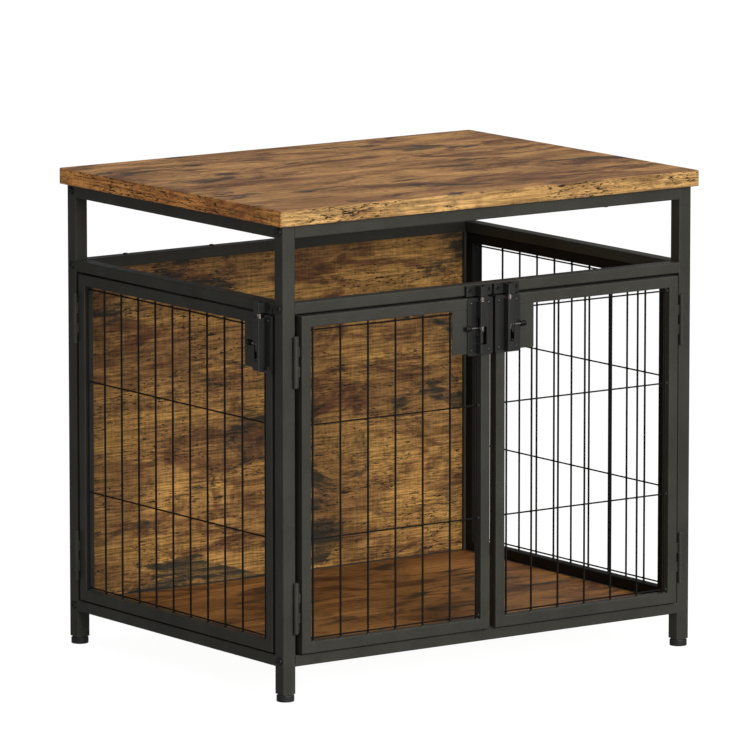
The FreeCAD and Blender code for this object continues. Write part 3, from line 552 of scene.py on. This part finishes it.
def stamp(master, name, spots, body, material):
    """Copy a master piece to each (place, direction) spot and join the copies into one piece."""
    copies = []
    for place, direction in spots:
        copy = bpy.data.objects.new(name, master.data.copy())
        copy.data.transform(Matrix.Translation(place) @ pointing(direction))
        bpy.context.scene.collection.objects.link(copy)
        copies.append(copy)
    deselect()
    for copy in copies:
        copy.select_set(True)
    bpy.context.view_layer.objects.active = copies[0]
    if len(copies) > 1:
        bpy.ops.object.join()
    piece = copies[0]
    piece.name = name
    piece.data.name = name
    piece.data.materials.clear()
    piece.data.materials.append(material)
    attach(piece, body)
    print(name, len(spots), "copies,", len(piece.data.polygons), "faces")
    return piece


def put_away(master):
    """Remove a master once its copies are made."""
    bpy.data.objects.remove(master, do_unlink=True)


def apply_modifiers(obj):
    """Apply every modifier in order."""
    bpy.context.view_layer.objects.active = obj
    for modifier in list(obj.modifiers):
        bpy.ops.object.modifier_apply(modifier=modifier.name)


# %% [markdown]
# ## Rivets on the latches
# Each latch base is riveted to its door. A rivet head is a shallow dome with a thin rim. A sphere
# gives the dome: its lower half is cut away with bisect. The base is then extruded down and
# widened to make the rim, and the whole is flattened.

# %% Rivet
RIVET_RADIUS = 2.3 * MM
RIM_HEIGHT = 0.0003
deselect()
bpy.ops.mesh.primitive_uv_sphere_add(segments=20, ring_count=12, radius=RIVET_RADIUS)
rivet = bpy.context.object
bpy.ops.object.mode_set(mode="EDIT")
bpy.ops.mesh.select_all(action="SELECT")
bpy.ops.mesh.bisect(plane_co=(0, 0, RIM_HEIGHT), plane_no=(0, 0, 1), use_fill=True,
                    clear_inner=True)
select_faces(rivet, lambda centre, normal: normal.z < -0.9)
bpy.ops.mesh.extrude_region_move(TRANSFORM_OT_translate={"value": (0, 0, -RIM_HEIGHT)})
bpy.ops.transform.resize(value=(1.1, 1.1, 1.0))
bpy.ops.mesh.select_all(action="SELECT")
bpy.ops.transform.resize(value=(1.0, 1.0, 0.55))
bpy.ops.mesh.normals_make_consistent(inside=False)
bpy.ops.object.mode_set(mode="OBJECT")
bpy.ops.object.shade_smooth_by_angle(angle=math.radians(40))
print("rivet", len(rivet.data.polygons), "faces")

# %% [markdown]
# The three latches face different ways: two face the front and one faces left. Each latch's own
# box says where its base is, and the outward direction says which way its rivets point.

# %% Rivets in place
FRONT = Vector((0, -1, 0))
LEFT = Vector((-1, 0, 0))
LATCHES = {"front_left": (FRONT, Vector((1, 0, 0)), "front_left_door"),
           "front_right": (FRONT, Vector((-1, 0, 0)), "front_right_door"),
           "side": (LEFT, Vector((0, -1, 0)), "side_door")}
HOUSING_PROUD = 10.7 * MM
RIVET_ACROSS = 14.5 * MM
RIVET_ROWS = (-7.0 * MM, -71.0 * MM)


def latch_middle(name):
    """Middle of a latch base's top edge, on the base's outer face."""
    low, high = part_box(name + "_latch_housing")
    outward = LATCHES[name][0]
    middle = (low + high) / 2
    if outward == FRONT:
        return Vector((middle.x, low.y + HOUSING_PROUD, high.z))
    return Vector((low.x + HOUSING_PROUD, middle.y, high.z))


for latch, (outward, to_free_edge, door) in LATCHES.items():
    top = latch_middle(latch)
    spots = []
    for across in (-RIVET_ACROSS, RIVET_ACROSS):
        for down in RIVET_ROWS:
            place = top + to_free_edge * across + Vector((0, 0, down))
            spots.append((place, outward))
    stamp(rivet, latch + "_latch_rivets", spots, door, latch_coat)
put_away(rivet)

# %% [markdown]
# ## Knob caps
# The knob of each bolt wears a black plastic cap with a few grip rings. A cylinder is the start:
# its side is cut into rings with bisect, every second ring is drawn in, the outer end is lifted a
# little, and the edges are bevelled.

# %% Knob cap
CAP_LENGTH = 8.4 * MM
CAP_RADIUS = 3.4 * MM
CAP_INSET = 3.6 * MM
KNOB_DROP = 40.0 * MM
BOLT_RADIUS = 3.4 * MM
RING_CUTS = (-3.2, -2.4, -1.6, -0.8, 0.0, 0.8, 1.6, 2.4)
GROOVES = (-2.8, -1.2, 0.4, 2.0)
deselect()
bpy.ops.mesh.primitive_cylinder_add(vertices=28, radius=CAP_RADIUS, depth=CAP_LENGTH)
cap = bpy.context.object
bpy.ops.object.mode_set(mode="EDIT")
for plane in RING_CUTS:
    bpy.ops.mesh.select_all(action="SELECT")
    bpy.ops.mesh.bisect(plane_co=(0, 0, plane * MM), plane_no=(0, 0, 1))
for groove in GROOVES:
    select_faces(cap, lambda c, n: abs(n.z) < 0.5 and abs(c.z - groove * MM) < 0.2 * MM)
    bpy.ops.mesh.inset(thickness=0.12 * MM, use_boundary=True)
    bpy.ops.transform.resize(value=(0.9, 0.9, 1.0), center_override=(0, 0, 0))
select_faces(cap, lambda c, n: n.z > 0.9)
bpy.ops.mesh.inset(thickness=0.9 * MM)
bpy.ops.transform.translate(value=(0, 0, 0.5 * MM))
bpy.ops.object.mode_set(mode="OBJECT")
bevel = cap.modifiers.new("soft_edges", "BEVEL")
bevel.width = 0.2 * MM
bevel.segments = 2
bevel.limit_method = "ANGLE"
bevel.angle_limit = math.radians(35)
apply_modifiers(cap)
deselect()
cap.select_set(True)
bpy.ops.object.shade_smooth_by_angle(angle=math.radians(35))

for latch, (outward, to_free_edge, _) in LATCHES.items():
    low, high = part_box(latch + "_latch_bolt")
    housing_low, housing_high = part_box(latch + "_latch_housing")
    away = -to_free_edge
    reach_end = max(low.dot(away), high.dot(away))
    knob_height = housing_high.z - KNOB_DROP
    bolt_out = max(low.dot(outward), high.dot(outward)) - BOLT_RADIUS
    centre = away * (reach_end - CAP_INSET) + outward * bolt_out + Vector((0, 0, knob_height))
    stamp(cap, latch + "_knob_cap", [(centre, away)], latch + "_bolt", knob_plastic)
put_away(cap)

# %% [markdown]
# ## Hinge pin heads
# A hinge pin shows as a small button at the top and bottom of each hinge. A short cylinder with
# its outer face inset and lifted gives the button, and a bevel rounds it.

# %% Pin heads
deselect()
bpy.ops.mesh.primitive_cylinder_add(vertices=20, radius=2.3 * MM, depth=0.8 * MM,
                                    location=(0, 0, 0.4 * MM))
button = bpy.context.object
bpy.ops.object.transform_apply(location=True)
bpy.ops.object.mode_set(mode="EDIT")
select_faces(button, lambda c, n: n.z > 0.9)
bpy.ops.mesh.inset(thickness=0.8 * MM)
bpy.ops.transform.translate(value=(0, 0, 0.5 * MM))
bpy.ops.object.mode_set(mode="OBJECT")
bevel = button.modifiers.new("soft_edges", "BEVEL")
bevel.width = 0.25 * MM
bevel.segments = 2
apply_modifiers(button)
deselect()
button.select_set(True)
bpy.ops.object.shade_smooth_by_angle(angle=math.radians(50))


def mesh_points(name):
    """All the points of a CAD part."""
    return [vertex.co for vertex in frame["nodes"][name].data.vertices]


def clusters(values, gap):
    """Split numbers into groups no further apart than a gap; return each group's low and high."""
    groups = []
    for value in sorted(values):
        if groups and value - groups[-1][1] < gap:
            groups[-1][1] = value
        else:
            groups.append([value, value])
    return groups


pins = mesh_points("hinge_pins")
pin_spots = []
for x_low, x_high in clusters([p.x for p in pins], 0.004):
    column = [p for p in pins if x_low <= p.x <= x_high]
    y_low, y_high = min(p.y for p in column), max(p.y for p in column)
    for z_low, z_high in clusters([p.z for p in column], 0.1):
        axis = Vector(((x_low + x_high) / 2, (y_low + y_high) / 2, 0))
        pin_spots.append((axis + Vector((0, 0, z_high)), (0, 0, 1)))
        pin_spots.append((axis + Vector((0, 0, z_low)), (0, 0, -1)))
stamp(button, "hinge_pin_heads", pin_spots, "crate", frame_coat)
put_away(button)

# %% [markdown]
# ## Hex sockets in the frame screws
# The screws on the posts are driven with a hex key. The CAD head has a plain round recess, so a
# ring with a hexagonal hole is set into it. Two circles, one of six points and one of
# twenty-four, are joined by a bridge, and the ring is extruded to give it depth.

# %% Hex socket ring
deselect()
bpy.ops.mesh.primitive_circle_add(vertices=24, radius=1.97 * MM, fill_type="NOTHING")
ring = bpy.context.object
bpy.ops.object.mode_set(mode="EDIT")
bpy.ops.mesh.select_all(action="DESELECT")
bpy.ops.mesh.primitive_circle_add(vertices=6, radius=1.6 * MM, fill_type="NOTHING")
bpy.ops.mesh.select_all(action="SELECT")
bpy.ops.mesh.bridge_edge_loops()
bpy.ops.mesh.extrude_region_move(TRANSFORM_OT_translate={"value": (0, 0, -1.2 * MM)})
bpy.ops.mesh.select_all(action="SELECT")
bpy.ops.mesh.normals_make_consistent(inside=False)
bpy.ops.object.mode_set(mode="OBJECT")

SOCKET_SINK = 0.0001
screw_points = mesh_points("frame_screws")
outer_x = max(p.x for p in screw_points)
socket_spots = []
for side in (-1, 1):
    heads = [p for p in screw_points if abs(p.x - side * outer_x) < 0.0006]
    for z_low, z_high in clusters([p.z for p in heads], 0.02):
        level = [p for p in heads if z_low <= p.z <= z_high]
        for y_low, y_high in clusters([p.y for p in level], 0.02):
            centre = Vector((side * (outer_x - SOCKET_SINK), (y_low + y_high) / 2,
                             (z_low + z_high) / 2))
            socket_spots.append((centre, (side, 0, 0)))
stamp(ring, "frame_screw_sockets", socket_spots, "crate", dark_screw)
put_away(ring)

# %% [markdown]
# ## Welds on the wire grilles
# Every crossing of two wires is spot welded, which leaves a small squashed nugget, and every wire
# end is welded to its tube with a little collar. There are hundreds, so each is kept to eighty
# faces or fewer. The wire positions are measured from the grille itself: the points at its top
# edge show where the uprights are, and those at its side edge show the cross wires.

# %% Spot weld nugget and end collar
deselect()
bpy.ops.mesh.primitive_ico_sphere_add(subdivisions=1, radius=1.0 * MM)
nugget = bpy.context.object
bpy.ops.object.mode_set(mode="EDIT")
bpy.ops.mesh.select_all(action="SELECT")
bpy.ops.mesh.subdivide(number_cuts=1, smoothness=0.9)
bpy.ops.transform.resize(value=(2.1, 1.7, 1.05))
bpy.ops.object.mode_set(mode="OBJECT")
bpy.ops.object.shade_smooth()

deselect()
bpy.ops.mesh.primitive_cone_add(vertices=10, radius1=2.3 * MM, radius2=1.35 * MM, depth=1.6 * MM,
                                location=(0, 0, 0.8 * MM), end_fill_type="NOTHING")
collar = bpy.context.object
bpy.ops.object.transform_apply(location=True)
bpy.ops.object.mode_set(mode="EDIT")
bpy.ops.mesh.select_all(action="SELECT")
bpy.ops.mesh.bisect(plane_co=(0, 0, 0.6 * MM), plane_no=(0, 0, 1))
bpy.ops.transform.resize(value=(0.88, 0.88, 1.0), center_override=(0, 0, 0))
bpy.ops.object.mode_set(mode="OBJECT")
bpy.ops.object.shade_smooth()

# %% Welds in place
UP = Vector((0, 0, 1))
UPRIGHT_RADIUS = 1.4 * MM
CROSS_WIRE_SETBACK = 2.2 * MM
CROSSING_SETBACK = 2.65 * MM
GRILLES = {"front_left_door_wires": ("front_left_door", FRONT),
           "front_right_door_wires": ("front_right_door", FRONT),
           "side_door_wires": ("side_door", LEFT),
           "right_panel_wires": ("crate", -LEFT)}
for grille, (body, outward) in GRILLES.items():
    points = mesh_points(grille)
    low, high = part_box(grille)
    sideways = Vector((1, 0, 0)) if abs(outward.y) > 0.5 else Vector((0, 1, 0))
    at_top = [p.dot(sideways) for p in points if p.z > high.z - 0.0001]
    at_side = [p.z for p in points if p.dot(sideways) < low.dot(sideways) + 0.0001]
    uprights = [(a + b) / 2 for a, b in clusters(at_top, 0.003)]
    levels = [(a + b) / 2 for a, b in clusters(at_side, 0.003)]
    front = max(low.dot(outward), high.dot(outward))
    upright_depth = outward * (front - UPRIGHT_RADIUS)
    cross_depth = outward * (front - UPRIGHT_RADIUS - CROSS_WIRE_SETBACK)
    contact_depth = outward * (front - CROSSING_SETBACK)
    nuggets = [(sideways * u + contact_depth + UP * z, outward) for u in uprights for z in levels]
    ends = [(sideways * u + upright_depth + UP * low.z, UP) for u in uprights]
    ends += [(sideways * u + upright_depth + UP * high.z, -UP) for u in uprights]
    for z in levels:
        ends.append((sideways * low.dot(sideways) + cross_depth + UP * z, sideways))
        ends.append((sideways * high.dot(sideways) + cross_depth + UP * z, -sideways))
    stamp(nugget, grille + "_spot_welds", nuggets, body, wire_coat)
    stamp(collar, grille + "_end_welds", ends, body, weld_coat)
put_away(nugget)
put_away(collar)

# %% [markdown]
# ## Weld beads on the frame
# The side rails are welded to the posts. A weld bead is a row of overlapping ripples, laid in the
# corner under each end of a rail. One ripple is a slightly flattened sphere, and an Array of them
# makes the bead.

# %% Weld bead
BEAD_RIPPLES = 9
RIPPLE_STEP = 1.9 * MM
deselect()
bpy.ops.mesh.primitive_uv_sphere_add(segments=12, ring_count=8, radius=1.6 * MM)
bead = bpy.context.object
bpy.ops.object.mode_set(mode="EDIT")
bpy.ops.mesh.select_all(action="SELECT")
bpy.ops.transform.resize(value=(0.95, 1.0, 1.0))
bpy.ops.object.mode_set(mode="OBJECT")
row = bead.modifiers.new("row", "ARRAY")
row.count = BEAD_RIPPLES
row.use_relative_offset = False
row.use_constant_offset = True
row.constant_offset_displace = (0.0, 0.0, RIPPLE_STEP)
apply_modifiers(bead)
bpy.ops.object.shade_smooth()

bead_spots = []
start_offset = -RIPPLE_STEP * (BEAD_RIPPLES - 1) / 2
for side in ("left", "right"):
    for level in ("top", "middle", "bottom"):
        low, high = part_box("rail_%s_%s" % (side, level))
        for y in (low.y, high.y):
            place = Vector(((low.x + high.x) / 2 + start_offset, y, low.z))
            bead_spots.append((place, (1, 0, 0)))
stamp(bead, "frame_weld_beads", bead_spots, "crate", weld_coat)
put_away(bead)

# %% [markdown]
# ## Black strip of painted shade between the front doors
# A black strip runs down the free edge of the left door and narrows the gap to the right one. It
# stands in for the shadow in that gap: it is painted shade, not a real seal. It is a block nearly
# as long as the door, with a groove down its front face and rounded edges. It sits near the back
# of the door tube and reaches less than half way across the gap, so both doors still swing freely.

# %% Painted shade strip between the front doors
STRIP_WIDTH = 4.4 * MM
STRIP_DEPTH = 5.0 * MM
STRIP_END = 2.0 * MM
STRIP_BACK_INSET = 0.5 * MM
door_low, door_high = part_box("front_left_door_frame")
deselect()
bpy.ops.mesh.primitive_cube_add(size=1.0)
# Painted shade: a black block standing in for the shadow in the door gap.
gap_shade_strip = bpy.context.object
gap_shade_strip.name = "door_gap_shade_strip"
strip_length = door_high.z - door_low.z - 2 * STRIP_END
strip_middle = Vector((door_high.x + STRIP_WIDTH / 2,
                       door_high.y - STRIP_BACK_INSET - STRIP_DEPTH / 2,
                       (door_low.z + door_high.z) / 2))
bpy.ops.object.mode_set(mode="EDIT")
bpy.ops.mesh.select_all(action="SELECT")
bpy.ops.transform.resize(value=(STRIP_WIDTH, STRIP_DEPTH, strip_length))
select_faces(gap_shade_strip, lambda c, n: n.y < -0.9)
bpy.ops.mesh.inset(thickness=0.8 * MM)
bpy.ops.transform.translate(value=(0, 0.9 * MM, 0))
bpy.ops.mesh.select_all(action="SELECT")
bpy.ops.transform.translate(value=strip_middle)
bpy.ops.object.mode_set(mode="OBJECT")
bevel = gap_shade_strip.modifiers.new("soft_edges", "BEVEL")
bevel.width = 0.3 * MM
bevel.segments = 2
apply_modifiers(gap_shade_strip)
gap_shade_strip.data.materials.append(gap_shade_coat)
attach(gap_shade_strip, "front_left_door")
print("strip", len(gap_shade_strip.data.polygons), "faces")

# %% [markdown]
# ## Floor
# The last object is the studio floor. It isn't part of the crate. Like the room, it glows white
# only for the camera, and it is a dim grey for the light that bounces about.

# %% Studio floor
deselect()
bpy.ops.mesh.primitive_plane_add(size=90.0, location=(0, 0, -0.0002))
floor = bpy.context.object
floor.name = "studio_floor"
floor_material, tree, floor_shader, _ = start_material("studio_floor")
floor_shader.inputs["Base Color"].default_value = (0.12, 0.12, 0.12, 1)
floor_shader.inputs["Roughness"].default_value = 0.9
floor_shader.inputs["Specular IOR Level"].default_value = 0.0
floor_shader.inputs["Emission Color"].default_value = (1, 1, 1, 1)
path = tree.nodes.new("ShaderNodeLightPath")
glow = ramp(tree, path.outputs["Is Camera Ray"], 0.0, 1.0, 0.2, 0.97)
plug(tree, floor_shader.inputs["Emission Strength"], glow)
floor.data.materials.append(floor_material)
